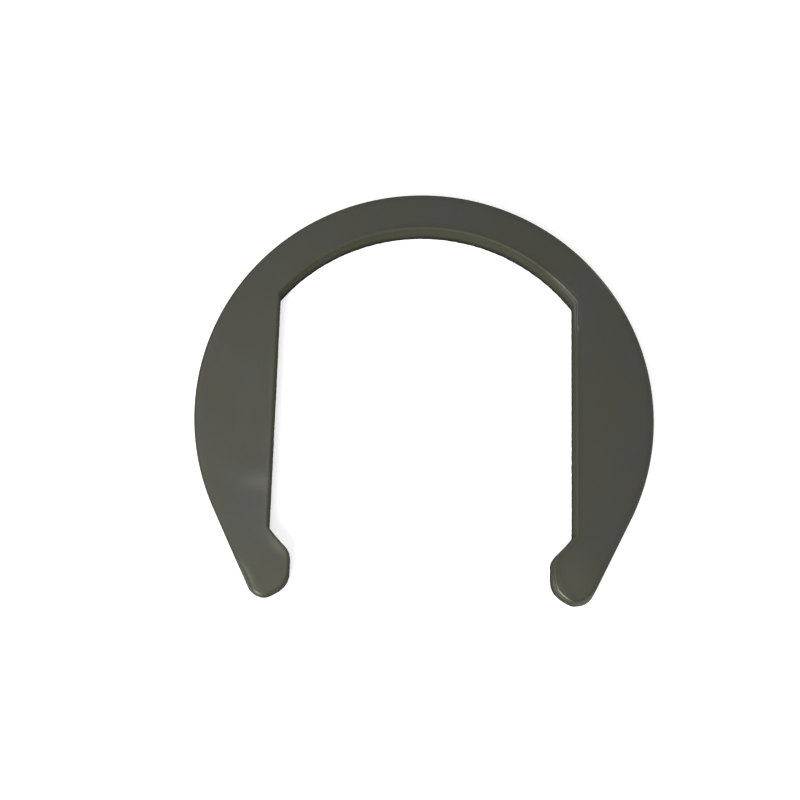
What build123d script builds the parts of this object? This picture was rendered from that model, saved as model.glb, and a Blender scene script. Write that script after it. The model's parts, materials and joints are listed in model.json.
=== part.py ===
from build123d import *
import os
from math import acos, asin, cos, degrees, radians, sin, sqrt

# Axle clip: a flat horseshoe of spring steel, blanked in one piece from strip.
# It is pushed sideways onto a round axle that has a slot cut across each flank. The clip's straight sides run
# along the floors of the two slots, its arch lies against the round back of the axle, and the hooked noses at
# the ends of its legs snap round the front and keep it from sliding off.
#
# Frame: millimetres, +Z up, the clip lying flat on the side that the burr was on. X runs across the two legs,
# +Y points from the mouth to the arch, and the origin is the axle's centre in the clip's lower face.

# The axle that the clip holds
axle_diameter = 25.4
axle_clearance = 0.05
slot_depth = 2.75

# The strip and the band that is cut from it
strip_thickness = 2.25
arch_width = 2.5
leg_angle = 26.5

# The noses: how far they stand in, the height of their faces and the slope that spreads the legs on the way in
nose_reach = 1.45
nose_height = 2.15
lead_in_angle = 30.0

# Rounded corners of the outline
nose_radius = 1.0
lead_in_radius = 1.5
tip_radius = 1.0
root_radius = 0.3

# The sheared edge: rolled over where the punch pressed, torn at a slope below the bright land, its burr tumbled off
roll_radius = 0.3
tear_height = 1.25
tear_angle = 2.5
burr_radius = 0.1

# Radii about the axle's centre, and the straight lines that the outline keeps to
axle_radius = axle_diameter / 2
seat_radius = axle_radius + axle_clearance
outer_radius = seat_radius + arch_width
side_x = axle_radius - slot_depth + axle_clearance
nose_x = side_x - nose_reach

# Corners of the right leg, before they are rounded
leg_lean = radians(leg_angle)
lead_in_slope = radians(lead_in_angle)
side_y = sqrt(seat_radius**2 - side_x**2)
hook_y = -sqrt(seat_radius**2 - nose_x**2)
lead_in_y = hook_y - nose_height
flank_distance = outer_radius - nose_x * cos(leg_lean) + lead_in_y * sin(leg_lean)
lead_in_length = flank_distance / cos(lead_in_slope - leg_lean)
tip_x = nose_x + lead_in_length * cos(lead_in_slope)
tip_y = lead_in_y - lead_in_length * sin(lead_in_slope)

arch_corner = (side_x, side_y)
hook_root = (side_x, -side_y)
hook_corner = (nose_x, hook_y)
lead_in_corner = (nose_x, lead_in_y)
tip_corner = (tip_x, tip_y)
rounds = [
    (arch_corner, root_radius),
    (hook_root, root_radius),
    (hook_corner, nose_radius),
    (lead_in_corner, lead_in_radius),
    (tip_corner, tip_radius),
]

half_turn = 180
axle_centre = (0, 0)
side_angle = degrees(asin(side_y / seat_radius))
hook_angle = degrees(acos(nose_x / seat_radius))

with BuildPart() as clip:
    # The outline: two arcs about the axle's centre, joined by a leg on each side
    with BuildSketch(Plane.XY.offset(tear_height)) as blank:
        with BuildLine():
            back = CenterArc(axle_centre, outer_radius, -leg_angle, half_turn + 2 * leg_angle)
            CenterArc(axle_centre, seat_radius, side_angle, half_turn - 2 * side_angle)
            flank = Line(back @ 0, tip_corner)
            lead_in = Line(tip_corner, lead_in_corner)
            nose_face = Line(lead_in_corner, hook_corner)
            hook = CenterArc(axle_centre, seat_radius, -hook_angle, hook_angle - side_angle)
            side = Line(hook_root, arch_corner)
            mirror([flank, lead_in, nose_face, hook, side], about=Plane.YZ)
        make_face()
        for (x, y), radius in rounds:
            for hand in (1, -1):
                corner = blank.vertices().sort_by_distance((hand * x, y))[0]
                fillet(corner, radius)

    # The bright land above, cut square, and the torn zone below, which draws in towards the burr side
    extrude(amount=strip_thickness - tear_height)
    extrude(blank.sketch, amount=-tear_height, taper=tear_angle)

    upper_face = clip.faces().sort_by(Axis.Z)[-1]
    fillet(upper_face.edges(), roll_radius)
    lower_face = clip.faces().sort_by(Axis.Z)[0]
    fillet(lower_face.edges(), burr_radius)

os.makedirs("parts", exist_ok=True)
export_step(clip.part, "parts/axle_clip.step")
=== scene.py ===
# %% [markdown]
# # An axle clip in tumbled spring steel
# The clip is a flat horseshoe, blanked in one stroke from spring-steel strip, tumbled and blackened in
# oil. This lesson draws its outline with one moving point and gives it the section that a punch leaves.
# It closes the two flats with a clean grid, wears the edges and roughens the torn zone, and then it
# dresses the steel and lights it. The frame comes first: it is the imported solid, which gives the sizes
# and is never changed here.

# %% Load the frame
import json
from math import atan2, cos, degrees, exp, pi, radians, sin, sqrt, tan

import bmesh
import bpy
from mathutils import Euler, Matrix, Vector
from mathutils.kdtree import KDTree


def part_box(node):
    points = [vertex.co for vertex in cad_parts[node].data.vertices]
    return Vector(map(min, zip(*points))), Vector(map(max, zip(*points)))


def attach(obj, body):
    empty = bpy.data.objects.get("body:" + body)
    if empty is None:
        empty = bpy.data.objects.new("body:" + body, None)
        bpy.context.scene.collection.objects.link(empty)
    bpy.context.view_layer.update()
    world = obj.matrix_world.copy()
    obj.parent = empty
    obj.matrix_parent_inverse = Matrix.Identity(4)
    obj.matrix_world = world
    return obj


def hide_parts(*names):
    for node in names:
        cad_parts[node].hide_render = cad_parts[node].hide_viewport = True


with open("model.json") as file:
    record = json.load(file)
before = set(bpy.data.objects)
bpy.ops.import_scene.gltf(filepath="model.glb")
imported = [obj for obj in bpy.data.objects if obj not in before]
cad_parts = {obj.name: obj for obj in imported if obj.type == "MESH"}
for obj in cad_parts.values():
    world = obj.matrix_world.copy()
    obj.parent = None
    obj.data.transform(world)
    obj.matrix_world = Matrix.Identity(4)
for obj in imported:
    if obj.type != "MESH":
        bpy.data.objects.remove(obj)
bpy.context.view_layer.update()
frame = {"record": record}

MM = 0.001

# %% [markdown]
# ## Sizes
# Everything turns about the axle's centre, which is the origin. The box of the solid gives the clip's
# back and its thickness, and the mount of the axle gives the radius that the arch and the hooks are cut
# to. What the frame can't tell is written down once: how far the sides and noses stand in, and the
# rounds.

# %% Sizes of the clip
low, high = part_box("axle_clip")
thickness = high.z - low.z
outer_radius = high.y
axle_seat = next(mount for mount in frame["record"]["mounts"] if mount["name"] == "axle_seat")
seat_radius = axle_seat["dims"]["r_mm"] * MM

side_x = 10.0 * MM
nose_x = 8.55 * MM
nose_height = 2.15 * MM
leg_lean = radians(26.5)
lead_in_slope = radians(30)

nose_round = 1.0 * MM
lead_in_round = 1.5 * MM
tip_round = 1.0 * MM
root_round = 0.3 * MM
print("outer radius", round(outer_radius / MM, 3), "mm, seat radius", round(seat_radius / MM, 3), "mm")
print("thickness", round(thickness / MM, 3), "mm")

# %% [markdown]
# ## Where the strokes of the outline end
# A leg is straight lines and arcs that run smoothly into each other, so each stroke only needs its length
# and how far it turns. A round between two lines takes radius times tan(half the turn) off each of them.
# A round between a line and the axle's circle has its centre on a circle that is larger or smaller by its
# own radius.

# %% Lengths and turns of one leg
quarter = pi / 2
lead_in_y = -sqrt(seat_radius**2 - nose_x**2) - nose_height
flank_distance = outer_radius - nose_x * cos(leg_lean) + lead_in_y * sin(leg_lean)
lead_in_length = flank_distance / cos(lead_in_slope - leg_lean)
tip = Vector((nose_x + lead_in_length * cos(lead_in_slope), lead_in_y - lead_in_length * sin(lead_in_slope)))
flank_start = outer_radius * Vector((cos(leg_lean), -sin(leg_lean)))
flank_length = (tip - flank_start).length

tip_turn = quarter - leg_lean + lead_in_slope
lead_in_turn = quarter - lead_in_slope
tip_setback = tip_round * tan(tip_turn / 2)
lead_in_setback = lead_in_round * tan(lead_in_turn / 2)

nose_centre_x = nose_x + nose_round
nose_centre_y = -sqrt((seat_radius + nose_round) ** 2 - nose_centre_x**2)
nose_turn = atan2(-nose_centre_y, nose_centre_x)
root_centre_x = side_x - root_round
root_centre_y = sqrt((seat_radius - root_round) ** 2 - root_centre_x**2)
root_turn = atan2(root_centre_y, root_centre_x)
print("flank", round(flank_length / MM, 3), "mm")
print("hook from", round(degrees(root_turn), 2), "to", round(degrees(nose_turn), 2), "degrees")

# %% [markdown]
# ## The outline as runs of strokes
# The back of the clip and its bore are divided into runs that lie opposite each other: arch, side and
# nose. Opposite runs get the same number of facets, so that the rows of the grid later cross the strip
# squarely. A stroke is its length and its turn, and a positive turn goes to the left.

# %% Runs of the right half
flank_reach = tip - flank_start
side_foot = Vector((side_x, -root_centre_y))
upper_flank = (side_foot - flank_start).dot(flank_reach.normalized())
side_sweep = root_turn + leg_lean

back_arch = [(outer_radius * (quarter - root_turn), root_turn - quarter)]
back_side = [(outer_radius * side_sweep, -side_sweep), (upper_flank, 0)]
back_nose = [(flank_length - upper_flank - tip_setback, 0)]
leg_end = [
    (tip_round * tip_turn, -tip_turn),
    (lead_in_length - tip_setback - lead_in_setback, 0),
    (lead_in_round * lead_in_turn, -lead_in_turn),
]
bore_nose = [
    (nose_centre_y - lead_in_y - lead_in_setback, 0),
    (nose_round * nose_turn, -nose_turn),
    (seat_radius * (nose_turn - root_turn), nose_turn - root_turn),
]
root = (root_round * root_turn, root_turn)
bore_side = [root, (2 * root_centre_y, 0), root]
bore_arch = [(seat_radius * (quarter - root_turn), quarter - root_turn)]

arch_facets, side_facets, nose_facets, end_facets = 84, 116, 40, 28
runs = [
    (back_arch, arch_facets),
    (back_side, side_facets),
    (back_nose, nose_facets),
    (leg_end, end_facets),
    (bore_nose, nose_facets),
    (bore_side, side_facets),
    (bore_arch, arch_facets),
]
outline_length = 2 * sum(length for strokes, _ in runs for length, _ in strokes)
print("outline", round(outline_length / MM, 2), "mm long")

# %% [markdown]
# ## A pen made of one vertex
# A plane is merged to its middle, which leaves a single vertex: the pen. Extruding it draws a straight
# stroke, and spinning it about a centre draws a round one. A curve object could hold the same outline,
# but the pen leaves plain edges, with the vertices just where the grid wants them. Spin turns the other
# way with no window, so it is given the turn with its sign changed.

# %% Helpers that draw
def share_out(strokes, facets):
    """Shares facets among strokes by length, with some more for what turns."""
    turn_worth = 0.8 * MM
    worths = [length + turn_worth * abs(turn) for length, turn in strokes]
    ends = [round(facets * sum(worths[: count + 1]) / sum(worths)) for count in range(len(worths))]
    return [end - start for start, end in zip([0] + ends, ends)]


def draw(pen, strokes, facets):
    """Draws strokes from the pen's place and heading, and leaves the pen where they end."""
    for (length, turn), steps in zip(strokes, share_out(strokes, facets)):
        ahead = Vector((cos(pen["heading"]), sin(pen["heading"]), 0))
        if turn == 0:
            for _ in range(steps):
                bpy.ops.mesh.extrude_region_move(TRANSFORM_OT_translate={"value": ahead * length / steps})
            pen["place"] += ahead * length
        else:
            centre = pen["place"] + Vector((-ahead.y, ahead.x, 0)) * (length / turn)
            bpy.ops.mesh.spin(steps=steps, angle=-turn, center=centre, axis=(0, 0, 1))
            pen["place"] = centre + Matrix.Rotation(turn, 3, "Z") @ (pen["place"] - centre)
            pen["heading"] += turn


# %% Draw the right half
tear_height = 1.25 * MM
bpy.ops.object.select_all(action="DESELECT")
bpy.ops.mesh.primitive_plane_add(size=MM)
clip = bpy.context.object
clip.name = clip.data.name = "clip_of_tumbled_steel"
bpy.ops.object.mode_set(mode="EDIT")
bpy.ops.mesh.merge(type="CENTER")

pen = {"place": Vector((0, outer_radius, tear_height)), "heading": 0.0}
bpy.ops.transform.translate(value=pen["place"])
for strokes, facets in runs:
    draw(pen, strokes, facets)
pen_end = [round(step / MM, 4) for step in pen["place"]]
print("pen ends at", pen_end, "mm, turned", round(degrees(pen["heading"]), 2), "degrees")

# %% [markdown]
# ## The left half and the face
# The clip is the same on both sides, so a mirror makes the other leg. Once the halves are merged the
# outline is one closed loop, and a face is laid in it. This face stands at the tear line, where the land
# of the sheared edge meets its torn zone: the section is built from there upwards and downwards.

# %% Mirror and fill
merge_distance = 0.001 * MM


def use_modifier(kind, name, **settings):
    """Adds a modifier to the clip, sets it and applies it."""
    modifier = clip.modifiers.new(name, kind)
    for setting, value in settings.items():
        setattr(modifier, setting, value)
    bpy.ops.object.modifier_apply(modifier=modifier.name)


bpy.ops.object.mode_set(mode="OBJECT")
use_modifier("MIRROR", "other leg", merge_threshold=merge_distance)
bpy.ops.object.mode_set(mode="EDIT")
bpy.ops.mesh.select_all(action="SELECT")
bpy.ops.mesh.remove_doubles(threshold=merge_distance)
bpy.ops.mesh.edge_face_add()
blank = bmesh.from_edit_mesh(clip.data).faces[:][0]
if blank.normal.z < 0:
    bpy.ops.mesh.flip_normals()
print("blank", round(blank.calc_area() / MM**2, 2), "mm2 with", len(blank.verts), "corners")

# %% [markdown]
# ## The edge that a punch leaves
# A punched edge has four parts. On top the metal is drawn down and rolls over, then comes a straight land
# that the punch cut, then the torn zone, which slopes in, and last the burr, which tumbling has rounded
# off. Extruding the face makes the land. Insets with a depth trace the rest: each one steps in and up
# together.

# %% Helper for a rounded edge
def round_over(reach, drop, steps):
    """Insets the chosen face in steps along a quarter round that is reach wide and drop deep."""
    for step in range(steps):
        here, there = quarter * step / steps, quarter * (step + 1) / steps
        inward, onward = reach * (cos(here) - cos(there)), drop * (sin(there) - sin(here))
        bpy.ops.mesh.inset(thickness=inward, depth=onward, use_even_offset=True)


# %% Land and rolled edge
roll_radius = 0.15 * MM
land_rows, roll_rows = 4, 7
bpy.ops.mesh.select_mode(type="FACE")
land_height = thickness - tear_height - roll_radius
for _ in range(land_rows):
    bpy.ops.mesh.extrude_region_move(TRANSFORM_OT_translate={"value": (0, 0, land_height / land_rows)})
round_over(roll_radius, roll_radius, roll_rows)
print("land", round(land_height / MM, 2), "mm high, rolled edge", round(roll_radius / MM, 2), "mm")

# %% Torn zone and tumbled burr
def pick_faces(test):
    """Selects, in edit mode, only the faces that pass a test."""
    bpy.ops.mesh.select_all(action="DESELECT")
    shape = bmesh.from_edit_mesh(clip.data)
    for face in shape.faces:
        face.select_set(test(face))
    bmesh.update_edit_mesh(clip.data)


tear_slope = radians(2.5)
burr_radius = 0.1 * MM
torn_rows, burr_rows = 9, 3
torn_height = tear_height - burr_radius
# Heights that differ by less than this count as level
level = merge_distance
pick_faces(lambda face: face.normal.z < 0 and abs(face.calc_center_median().z - tear_height) < level)
torn_row = torn_height / torn_rows
for _ in range(torn_rows):
    bpy.ops.mesh.inset(thickness=torn_row * tan(tear_slope), depth=torn_row, use_even_offset=True)
round_over(burr_radius, burr_radius, burr_rows)
print("torn zone", round(torn_height / MM, 2), "mm high at", round(degrees(tear_slope), 1), "degrees")

# %% [markdown]
# ## Two flats of clean quads
# Each flat is still one face with a thousand corners, which shades badly and can't take any relief. Its
# face is removed and the rim filled with a grid that runs along the strip. Grid Fill starts at the active
# vertex, so the one where the flank meets the tip round is made active, and the span is all facets of the
# back.

# %% Fill the flats
flank_end = flank_start + flank_reach.normalized() * (flank_length - tip_setback)
back_facets = 2 * (arch_facets + side_facets + nose_facets)
for flat_z in (thickness, 0):
    pick_faces(lambda face: abs(face.calc_center_median().z - flat_z) < level and len(face.verts) > 4)
    bpy.ops.mesh.delete(type="ONLY_FACE")
    bpy.ops.mesh.select_mode(type="EDGE")
    shape = bmesh.from_edit_mesh(clip.data)
    rim = [edge for edge in shape.edges if edge.is_boundary]
    for edge in rim:
        edge.select_set(True)
    corners = {corner for edge in rim for corner in edge.verts}
    shape.select_history.clear()
    shape.select_history.add(min(corners, key=lambda corner: (corner.co.xy - flank_end).length))
    bmesh.update_edit_mesh(clip.data)
    bpy.ops.mesh.fill_grid(span=back_facets, offset=0)
    bpy.ops.mesh.select_mode(type="FACE")

bpy.ops.mesh.select_all(action="SELECT")
bpy.ops.mesh.normals_make_consistent(inside=False)
shape = bmesh.from_edit_mesh(clip.data)
open_edges = sum(edge.is_boundary for edge in shape.edges)
print("volume", round(shape.calc_volume() / MM**3, 1), "mm3, open edges", open_edges)
bpy.ops.object.mode_set(mode="OBJECT")

# %% [markdown]
# ## Knocks
# In the tumbling barrel the leg ends take most of the knocks, so the left tip and the end of the right
# tip are rounded further than the rest of the edge. The right nose and the right corner of the arch are
# hardly lower, but like the tips they are polished, and the finish later paints them paler as a highlight.
# A bevel could make such a round, but it would have to fade out along the edge. A Displace modifier
# lowers the vertices instead, and a vertex group says how far each of them goes, from its distance to the
# outline.

# %% Helpers for relief
def tree_of(places):
    """A search tree of places."""
    tree = KDTree(len(places))
    for index, place in enumerate(places):
        tree.insert(place, index)
    tree.balance()
    return tree


def weigh(name, weight):
    """Makes a vertex group of the clip whose weight is worked out from each vertex's place."""
    group = clip.vertex_groups.new(name=name)
    for vertex in clip.data.vertices:
        group.add([vertex.index], weight(vertex.co), "REPLACE")
    return group.name


def share_between(value, start, end):
    """Nothing at the start, one at the end and in proportion between them."""
    return min(1.0, max(0.0, (value - start) / (end - start)))


# %% Round the knocked places
# Each knock is where its middle lies, how far it reaches and how much it adds to the rolled edge, in mm
knocks = [
    (-11.6, -11.6, 1.7, 0.2),
    (10.9, -12.5, 1.2, 0.32),
    (8.9, -11.5, 1.1, 0.06),
    (10.5, 8.3, 3.2, 0.02),
]
most_extra = max(extra for _, _, _, extra in knocks) * MM
knock_core = 0.45
upper_rim = thickness - roll_radius


def from_above(place):
    """A place dropped onto the floor."""
    return Vector((place.x, place.y, 0))


outline = tree_of([from_above(v.co) for v in clip.data.vertices if abs(v.co.z - upper_rim) < level])


def from_outline(place):
    """How far a place is from the outline, seen from above."""
    return outline.find(from_above(place))[2]


def on_knocks(place):
    """The share of each knock at one place: one in its core, fading to its reach."""
    distances = [(place.xy / MM - Vector((x, y))).length / reach for x, y, reach, _ in knocks]
    return [share_between(distance, 1.0, knock_core) for distance in distances]


def knocked(place):
    """How far the edge is lowered at one place, as a share of the most."""
    extra = max(share * knock[-1] * MM for share, knock in zip(on_knocks(place), knocks))
    if place.z < upper_rim + level:
        lowered = extra * share_between(place.z, tear_height, upper_rim)
    else:
        radius = roll_radius + extra
        inward = max(0, radius - from_outline(place))
        lowered = place.z - thickness + radius - sqrt(radius**2 - inward**2)
    return max(0.0, lowered) / most_extra


knocked_edge = weigh("knocked_edge", knocked)
use_modifier(
    "DISPLACE", "knocks", direction="Z", mid_level=0, vertex_group=knocked_edge, strength=-most_extra
)
print(len(knocks), "places rounded by up to", round((roll_radius + most_extra) / MM, 2), "mm")

# %% [markdown]
# ## Rubs and a nick
# There are a few marks of use. A rub runs across the left leg, and a highlight is painted paler on it; the
# left hook and the right nose get painted highlights, paler than the steel about them; and a small nick
# sits in the edge of the right leg, below the arch. The leg's rub is raised by a hair and the nick is
# sunk, each by a Displace modifier with weights that fade out from the mark's middle. The hook and the
# nose are only painted highlights in the finish, which comes later.

# %% Marks of use
rub_height = 0.03 * MM
# Each rub is its middle, the way it runs, its length and its width
leg_rub_and_highlight = (Vector((-10.65, -4.9)) * MM, 0, 1.0 * MM, 0.6 * MM)
# The hook and the nose marks are painted highlights; the leg's rub carries one on its raised relief.
hook_highlight = (Vector((-9.3, -9.15)) * MM, radians(-46), 0.85 * MM, 0.34 * MM)
nose_highlight = (Vector((10.0, -10.9)) * MM, radians(-60), 1.5 * MM, 1.1 * MM)
nick_middle, nick_reach, nick_depth = Vector((10.0, 6.0, 2.2)) * MM, 0.22 * MM, 0.08 * MM


def on_rub(place, mark):
    """One in the middle of a rub, fading to its sides and ends."""
    middle, turn, length, width = mark
    away = Matrix.Rotation(-turn, 2) @ (place.xy - middle)
    fade = exp(-((away.x / length) ** 2) - (away.y / width) ** 2)
    return fade * share_between(place.z, upper_rim, thickness)


rub = weigh("rub", lambda place: on_rub(place, leg_rub_and_highlight))
nick = weigh("nick", lambda place: max(0.0, 1 - (place - nick_middle).length / nick_reach))
use_modifier("DISPLACE", "rub", direction="Z", mid_level=0, vertex_group=rub, strength=rub_height)
use_modifier("DISPLACE", "nick", mid_level=0, vertex_group=nick, strength=-nick_depth)
print("rub", rub_height / MM, "mm high, nick", nick_depth / MM, "mm deep")

# %% [markdown]
# ## Where the steel is cut, torn and worn
# The finish changes with the place on the section, so each vertex is told what has happened to it there.
# The walls are sheared, and below the tear line they are torn as well. Wear is strongest on the rolled
# edge and the rounded burr, which rub in the tumbling barrel, and fades over a few tenths of a
# millimetre. Where a knock has worn them they are polished, and the colour is painted paler there and at
# the rubs, as highlights. The values are kept as attributes, which the material reads: they follow the
# surface and not the space.

# %% Shares of each mark
wear_reach, cut_start, cut_end = 0.4 * MM, 0.2 * MM, 0.08 * MM
tear_top, tear_fade = tear_height - 0.1 * MM, 1.0 * MM
faint_nose_highlight = 0.4


def on_round(place):
    """Whether a place is on the rolled edge or on the rounded burr."""
    return upper_rim < place.z < thickness - level or level < place.z < burr_radius


rounds = tree_of([v.co.copy() for v in clip.data.vertices if on_round(v.co)])


def worn(place):
    """One on the rolled edge and the burr, fading over the reach of the wear."""
    return max(0.0, 1 - rounds.find(place)[2] / wear_reach)


def polished(place):
    """How far the knocks have polished a worn place, which the colour also paints paler as a highlight."""
    return max(on_knocks(place)) * worn(place)


def sheared(place):
    """One on the walls, fading into the rolled edge, and nothing below or where the edge is polished."""
    cut = 1.0 if place.z < tear_height else share_between(from_outline(place), cut_start, cut_end)
    return cut * (1 - polished(place)) * float(place.z > level)


def torn(place):
    """Nothing on the land and on the flats, rising to one below the tear line."""
    return share_between(place.z, tear_top, tear_top - tear_fade) * float(place.z > level)


def painted_rub_highlight(place):
    """How much paler the rubs paint a place, as a highlight."""
    return max(on_rub(place, leg_rub_and_highlight), on_rub(place, hook_highlight), faint_nose_highlight * on_rub(place, nose_highlight))


# %% Keep the shares as attributes
marks = {"sheared": sheared, "torn": torn, "worn": worn, "painted_rub_highlight": painted_rub_highlight, "polished": polished}
for name, mark in marks.items():
    shares = [mark(vertex.co) for vertex in clip.data.vertices]
    clip.data.attributes.new(name, "FLOAT", "POINT").data.foreach_set("value", shares)
    print(name, round(sum(shares)), "of", len(shares), "vertices")

# %% [markdown]
# ## An uneven tear
# The crack that ends the cut never runs level, so the tear line wanders up and down along the edge, and
# the torn zone is left grainy. Both are real relief: two Displace modifiers with cloud textures, each
# held to its place by a vertex group, and applied so that they are in the mesh.

# %% Wandering tear line and grainy zone
def clouds(name, size, depth):
    """A cloud texture whose patches are about one size across."""
    texture = bpy.data.textures.new(name, "CLOUDS")
    texture.noise_scale = size
    texture.noise_depth = depth
    return texture


def near_tear(place):
    """One at the tear line, nothing at the rolled edge and at the burr."""
    return share_between(place.z, upper_rim, tear_height) * share_between(place.z, burr_radius, tear_height)


tear_line = weigh("tear_line", near_tear)
torn_zone = weigh("torn_zone", torn)
wander_size, wander_height = 1.6 * MM, 0.7 * MM
grain_size, grain_height = 0.22 * MM, 0.06 * MM
wander = clouds("wandering tear", wander_size, 2)
grain = clouds("torn grain", grain_size, 3)
use_modifier(
    "DISPLACE",
    "wander",
    texture=wander,
    texture_coords="LOCAL",
    direction="Z",
    vertex_group=tear_line,
    strength=wander_height,
)
use_modifier(
    "DISPLACE", "grain", texture=grain, texture_coords="LOCAL", vertex_group=torn_zone, strength=grain_height
)
clip.data.calc_loop_triangles()
print("clip has", len(clip.data.loop_triangles), "triangles")

# %% [markdown]
# ## Shading and place in the frame
# Smooth shading hides the facets, and an angle keeps what is truly sharp. The clip then rides on the
# frame's body and replaces the imported solid, which is hidden.

# %% Smooth shading
crease_angle = radians(50)
bpy.ops.object.shade_smooth_by_angle(angle=crease_angle)
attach(clip, "root")
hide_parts("axle_clip")
print(clip.name, "stays sharp above", round(degrees(crease_angle)), "degrees")

# %% [markdown]
# ## The steel
# The finish is a thin dark phosphate on steel, oiled: satin, almost black, with a breath of olive. It
# reflects like metal, only dimmer, so the shader is partly metal, with a dark colour and without the
# clear gloss that it would add. The tree starts with the coordinates of the object, and short helpers add
# nodes and link them.

# %% Start the material
steel = bpy.data.materials.new("oiled_phosphate_steel")
steel.use_nodes = True
steel_nodes = steel.node_tree.nodes
shader = steel_nodes["Principled BSDF"]
clip.data.materials.append(steel)


def add(kind, label, **sockets):
    """Adds a node, labels it and sets its sockets, whose names have low lines in place of blanks."""
    made = steel_nodes.new("ShaderNode" + kind)
    made.name = made.label = label
    for socket, value in sockets.items():
        made.inputs[socket.replace("_", " ")].default_value = value
    return made


def link(source, target):
    """Joins an output to an input."""
    steel.node_tree.links.new(source, target)


place = add("TexCoord", "place on the clip").outputs["Object"]
shader.inputs["Specular Tint"].default_value = (0.6, 0.6, 0.54, 1)
shader.inputs["Specular IOR Level"].default_value = 0.0
print("material", steel.name)

# %% [markdown]
# ## Colour of the phosphate
# The coat isn't even. Patches a few millimetres across lean to olive or to grey, the noses are olive all
# over, and a fine speckle lies over everything. One noise texture blends the two colours, and a finer one
# scales the result. On the walls that the punch cut the coat is thicker and matt, so less of the metal
# shows through.

# %% Helpers for noise, ranges and marks
def noise(label, patch, detail=2.0, stretch=None):
    """A noise texture with patches of one size, which may be drawn out along the axes."""
    made = add("TexNoise", label, Scale=1 / patch, Detail=detail)
    source = place
    if stretch:
        mapping = add("Mapping", label + " drawn out", Scale=stretch)
        link(source, mapping.inputs["Vector"])
        source = mapping.outputs["Vector"]
    link(source, made.inputs["Vector"])
    return made.outputs["Fac"]


def spread(label, source, low_value, high_value, low_from=0.3, high_from=0.7):
    """Maps a share to a range."""
    made = add("MapRange", label, From_Min=low_from, From_Max=high_from, To_Min=low_value, To_Max=high_value)
    link(source, made.inputs["Value"])
    return made.outputs["Result"]


def scaled(label, colour, factor):
    """A colour times a factor."""
    made = add("VectorMath", label)
    made.operation = "SCALE"
    link(colour, made.inputs["Vector"])
    link(factor, made.inputs["Scale"])
    return made.outputs["Vector"]


def by_share(label, share, none, full):
    """Maps a share from nothing to one to a range."""
    return spread(label, share, none, full, 0.0, 1.0)


def share_of(mark):
    """The share of a mark that the vertices carry."""
    made = add("Attribute", mark + " share")
    made.attribute_name = mark
    return made.outputs["Fac"]


def joined(label, operation, first, second):
    """Two values joined by one operation."""
    made = add("Math", label)
    made.operation = operation
    link(first, made.inputs[0])
    link(second, made.inputs[1])
    return made.outputs["Value"]


# %% Patches and noses
grey_steel = (0.0807, 0.0810, 0.0735, 1)
olive_steel = (0.0795, 0.0800, 0.0628, 1)
patch_size, nose_start, nose_full = 3.6 * MM, -8 * MM, -10.5 * MM
patches = spread("olive share", noise("phosphate patches", patch_size, 3.0), 0.0, 1.0)
along_clip = add("SeparateXYZ", "place along the clip")
link(place, along_clip.inputs["Vector"])
noses = spread("olive noses", along_clip.outputs["Y"], 1.0, 0.0, nose_full, nose_start)
tone = add("Mix", "phosphate tone")
tone.data_type = "RGBA"
tone.inputs["A"].default_value = grey_steel
tone.inputs["B"].default_value = olive_steel
link(joined("olive patches and noses", "MAXIMUM", patches, noses), tone.inputs["Factor"])

# %% Sheared walls and speckle
sheared_steel = (0.088, 0.087, 0.063, 1)
face_metal, wall_metal = 0.55, 0.05
speckle_size = 0.16 * MM
sheared_share = share_of("sheared")
edge_tone = add("Mix", "tone of sheared edges")
edge_tone.data_type = "RGBA"
edge_tone.inputs["B"].default_value = sheared_steel
link(sheared_share, edge_tone.inputs["Factor"])
link(tone.outputs["Result"], edge_tone.inputs["A"])
link(by_share("metal through the coat", sheared_share, face_metal, wall_metal), shader.inputs["Metallic"])
speckle = spread("speckle strength", noise("speckle", speckle_size, 4.0), 0.98, 1.02)
colour = scaled("speckled tone", edge_tone.outputs["Result"], speckle)

# %% [markdown]
# ## Torn and worn places
# The torn zone holds more phosphate, so it is darker and rougher, and the darkening that deepens towards
# the floor is painted shade. Worn edges hold the oil, in patches, so they are smoother, and their darker
# colour is painted shade on the rolled edges. The rubs are painted paler as highlights, and polished knocks
# are smooth and painted paler as highlights too. All of them read the attributes that the vertices carry.

# %% Colour of torn, worn and rubbed places
torn_share, polish_and_highlight_share = share_of("torn"), share_of("polished")
oil_patch = 1.1 * MM
oil_share = spread("oil share", noise("oily patches", oil_patch, 3.0), 0.5, 1.0)
oil_and_edge_shade = joined("oily edges", "MULTIPLY", share_of("worn"), oil_share)
# Below the tear line the colour darkens, partly for the thicker phosphate and partly as painted shade near
# the floor.
colour = scaled("darker where torn and painted shade near the floor", colour, by_share("torn tone and painted floor shade", torn_share, 1.0, 0.25))
# The oily edges are painted darker: this darkening is shade painted on the rolled edges.
colour = scaled("painted shade at rolled edges", colour, by_share("painted edge shade", oil_and_edge_shade, 1.0, 0.9))
# The rubs are painted paler: this paleness is a painted highlight.
colour = scaled("painted highlights at the rubs", colour, by_share("painted rub highlight tone", share_of("painted_rub_highlight"), 1.0, 1.35))
# Polished knocks are painted paler too: this is a painted highlight on the polish.
colour = scaled("polish with painted highlight at the knocks", colour, by_share("painted knock highlight tone", polish_and_highlight_share, 1.0, 1.4))
link(colour, shader.inputs["Base Color"])

# %% Gloss
film_patch = 1.8 * MM
gloss = spread("satin", noise("oil film", film_patch, 3.0), 0.395, 0.44)
gloss = joined("rougher where torn", "ADD", gloss, by_share("torn roughness", torn_share, 0.0, 0.22))
gloss = joined("smoother at oily edges", "ADD", gloss, by_share("oily smoothness", oil_and_edge_shade, 0.0, -0.13))
gloss = joined("smoother at the knocks", "ADD", gloss, by_share("polish", polish_and_highlight_share, 0.0, -0.08))
link(gloss, shader.inputs["Roughness"])

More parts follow.
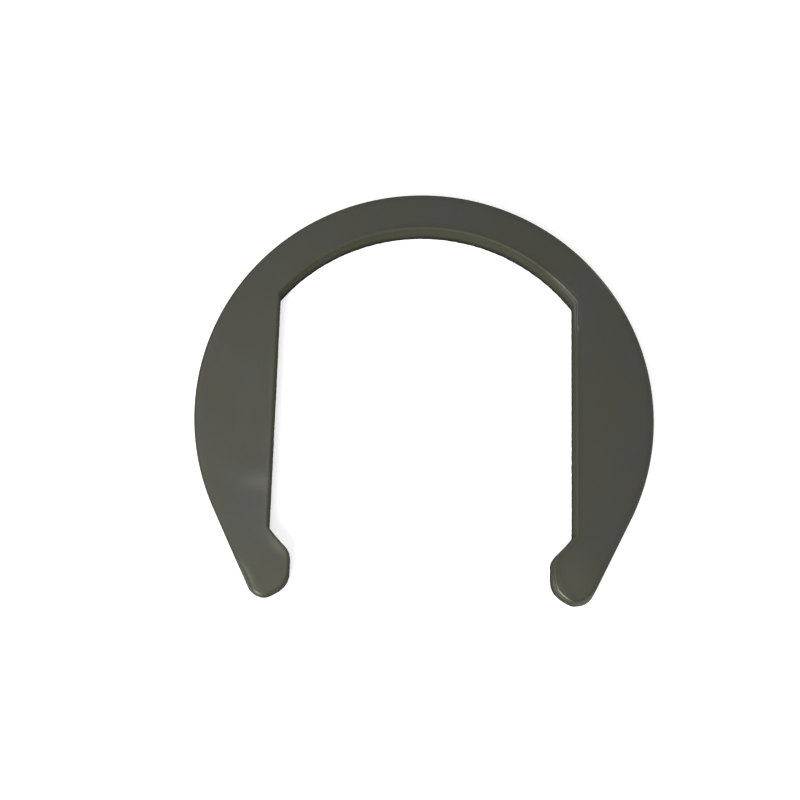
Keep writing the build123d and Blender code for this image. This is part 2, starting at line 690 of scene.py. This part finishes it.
# %% [markdown]
# ## Fine relief
# Tumbling leaves a faint even dimpling all over, and the punch leaves fine upright drag lines in the
# land. The lines are a noise drawn out along Z, which on the flats reads as more speckle and needs no
# mask. These are too fine for the mesh, so they are bump, with heights of a few thousandths of a
# millimetre.

# %% Bump
line_width, dimple_size = 0.05 * MM, 0.12 * MM
drag_lines = noise("drag lines", line_width, 2.0, (1, 1, 0.04))
dimples = noise("dimples", dimple_size, 3.0)
heights = joined("dimples and lines", "ADD", dimples, spread("line height", drag_lines, 0.0, 0.5))
bump = add("Bump", "fine relief", Strength=0.042, Distance=0.006 * MM)
link(heights, bump.inputs["Height"])
link(bump.outputs["Normal"], shader.inputs["Normal"])
print("steel has", len(steel_nodes), "nodes")

# %% [markdown]
# ## Floor
# A wide white sheet lies under the clip and turns up all round, so that every view ends in the same
# paper. A glow is added for what the camera and reflections see: it lifts the paper to white and keeps
# the shadow. It grows with the distance, so that the paper that turns up is as white as the rest.

# %% Paper that turns up
paper_radius, paper_rise, paper_bend = 0.9, 0.6, 0.5
bpy.ops.object.select_all(action="DESELECT")
bpy.ops.mesh.primitive_circle_add(
    vertices=128, radius=paper_radius, fill_type="NGON", location=(0, 0, -level)
)
floor = bpy.context.object
floor.name = floor.data.name = "paper_floor"
bpy.ops.object.mode_set(mode="EDIT")
bpy.ops.mesh.select_mode(type="EDGE")
bpy.ops.mesh.extrude_edges_move(TRANSFORM_OT_translate={"value": (0, 0, paper_rise)})
bpy.ops.mesh.select_all(action="DESELECT")
shape = bmesh.from_edit_mesh(floor.data)
for edge in shape.edges:
    edge.select_set(all(abs(corner.co.z) < level for corner in edge.verts))
bmesh.update_edit_mesh(floor.data)
bpy.ops.mesh.bevel(offset=paper_bend, segments=24)
bpy.ops.mesh.select_all(action="SELECT")
bpy.ops.mesh.normals_make_consistent(inside=True)
bpy.ops.object.mode_set(mode="OBJECT")
bpy.ops.object.shade_smooth()
print("paper", len(floor.data.polygons), "faces")

# %% Paper finish
paper = bpy.data.materials.new("white_paper")
paper.use_nodes = True
paper_nodes, paper_links = paper.node_tree.nodes, paper.node_tree.links
paper_nodes.clear()


def paper_node(kind, label, operation=None):
    """Adds a node to the paper, labels it and sets its operation, if it has one."""
    made = paper_nodes.new("ShaderNode" + kind)
    made.name = made.label = label
    if operation:
        made.operation = operation
    return made


matt = paper_node("BsdfDiffuse", "matt paper")
matt.inputs["Color"].default_value = (0.8, 0.8, 0.8, 1)
glow = paper_node("Emission", "glow of the paper")
both = paper_node("AddShader", "paper and glow")
sheet_out = paper_node("OutputMaterial", "paper")
paper_links.new(matt.outputs["BSDF"], both.inputs[0])
paper_links.new(glow.outputs["Emission"], both.inputs[1])
paper_links.new(both.outputs["Shader"], sheet_out.inputs["Surface"])
floor.data.materials.append(paper)

# %% Glow of the paper
sheet_place = paper_node("TexCoord", "place on the paper")
distance = paper_node("VectorMath", "distance from the clip", "LENGTH")
glow_by_distance = paper_node("MapRange", "glow by distance")
glow_range = {"From Min": 0.1, "From Max": 0.6, "To Min": 0.65, "To Max": 0.92}
for socket, value in glow_range.items():
    glow_by_distance.inputs[socket].default_value = value
paper_links.new(sheet_place.outputs["Object"], distance.inputs[0])
paper_links.new(distance.outputs["Value"], glow_by_distance.inputs["Value"])

rays = paper_node("LightPath", "kind of ray")
seen = paper_node("Math", "seen or reflected", "MAXIMUM")
seen_through = paper_node("Math", "seen, reflected or seen through", "MAXIMUM")
lift = paper_node("Math", "glow where it is seen", "MULTIPLY")
paper_links.new(rays.outputs["Is Camera Ray"], seen.inputs[0])
paper_links.new(rays.outputs["Is Glossy Ray"], seen.inputs[1])
paper_links.new(seen.outputs["Value"], seen_through.inputs[0])
paper_links.new(rays.outputs["Is Transmission Ray"], seen_through.inputs[1])
paper_links.new(seen_through.outputs["Value"], lift.inputs[0])
paper_links.new(glow_by_distance.outputs["Result"], lift.inputs[1])
paper_links.new(lift.outputs["Value"], glow.inputs["Strength"])
print("paper glows by", glow_range["To Min"], "near the clip and", glow_range["To Max"], "far off")

# %% [markdown]
# ## Light
# A pale sky lights everything a little, and three soft boxes do the rest. The one overhead stands to the
# left, so the left leg is lighter than the right one. The one at the front left lights the arch's wall
# and the edges that are polished, and the one at the back right fills the shadows. The strengths are
# brightnesses, where one is white: a lamp's power is its brightness times pi times its area.

# %% Sky and soft boxes
sky = bpy.data.worlds.new("pale_sky")
bpy.context.scene.world = sky
sky.use_nodes = True
sky.node_tree.nodes["Background"].inputs["Color"].default_value = (1, 1, 1, 1)
sky.node_tree.nodes["Background"].inputs["Strength"].default_value = 0.22


def soft_box(name, place, size, brightness):
    """A square lamp of one brightness that faces the clip."""
    lamp = bpy.data.lights.new(name, "AREA")
    lamp.size = size
    lamp.energy = brightness * pi * size**2
    box = bpy.data.objects.new(name, lamp)
    bpy.context.collection.objects.link(box)
    box.location = place
    box.rotation_euler = (-Vector(place)).to_track_quat("-Z", "Y").to_euler()


soft_box("overhead_soft_box", (-0.036, 0.035, 0.275), 0.12, 2.55)
soft_box("front_left_soft_box", (-0.068, -0.113, 0.176), 0.1, 13.0)
soft_box("back_right_soft_box", (0.121, 0.110, 0.116), 0.08, 2.3)

# %% [markdown]
# ## Camera
# The clip is seen from above and a little from the front. The camera's turn, tilt and roll put the legs
# where the photograph has them, and the lens is a short telephoto.

# %% Camera
view_turn, view_tilt, view_roll = radians(-4.73), radians(77.31), radians(6.44)
view_point = Vector((-1.638, 1.187, 0.236)) * MM
view_distance = 90 * MM
lens = bpy.data.cameras.new("view_from_above")
lens.lens = 59.656
lens.sensor_width = 36
lens.clip_start = MM
camera = bpy.data.objects.new("view_from_above", lens)
bpy.context.collection.objects.link(camera)
stance = Euler((quarter - view_tilt, 0, view_turn)).to_matrix() @ Matrix.Rotation(view_roll, 3, "Z")
camera.rotation_euler = stance.to_euler()
camera.location = view_point + stance @ Vector((0, 0, view_distance))
bpy.context.scene.camera = camera
bpy.context.scene.view_settings.view_transform = "Standard"
print("camera at", [round(step / MM, 2) for step in camera.location])
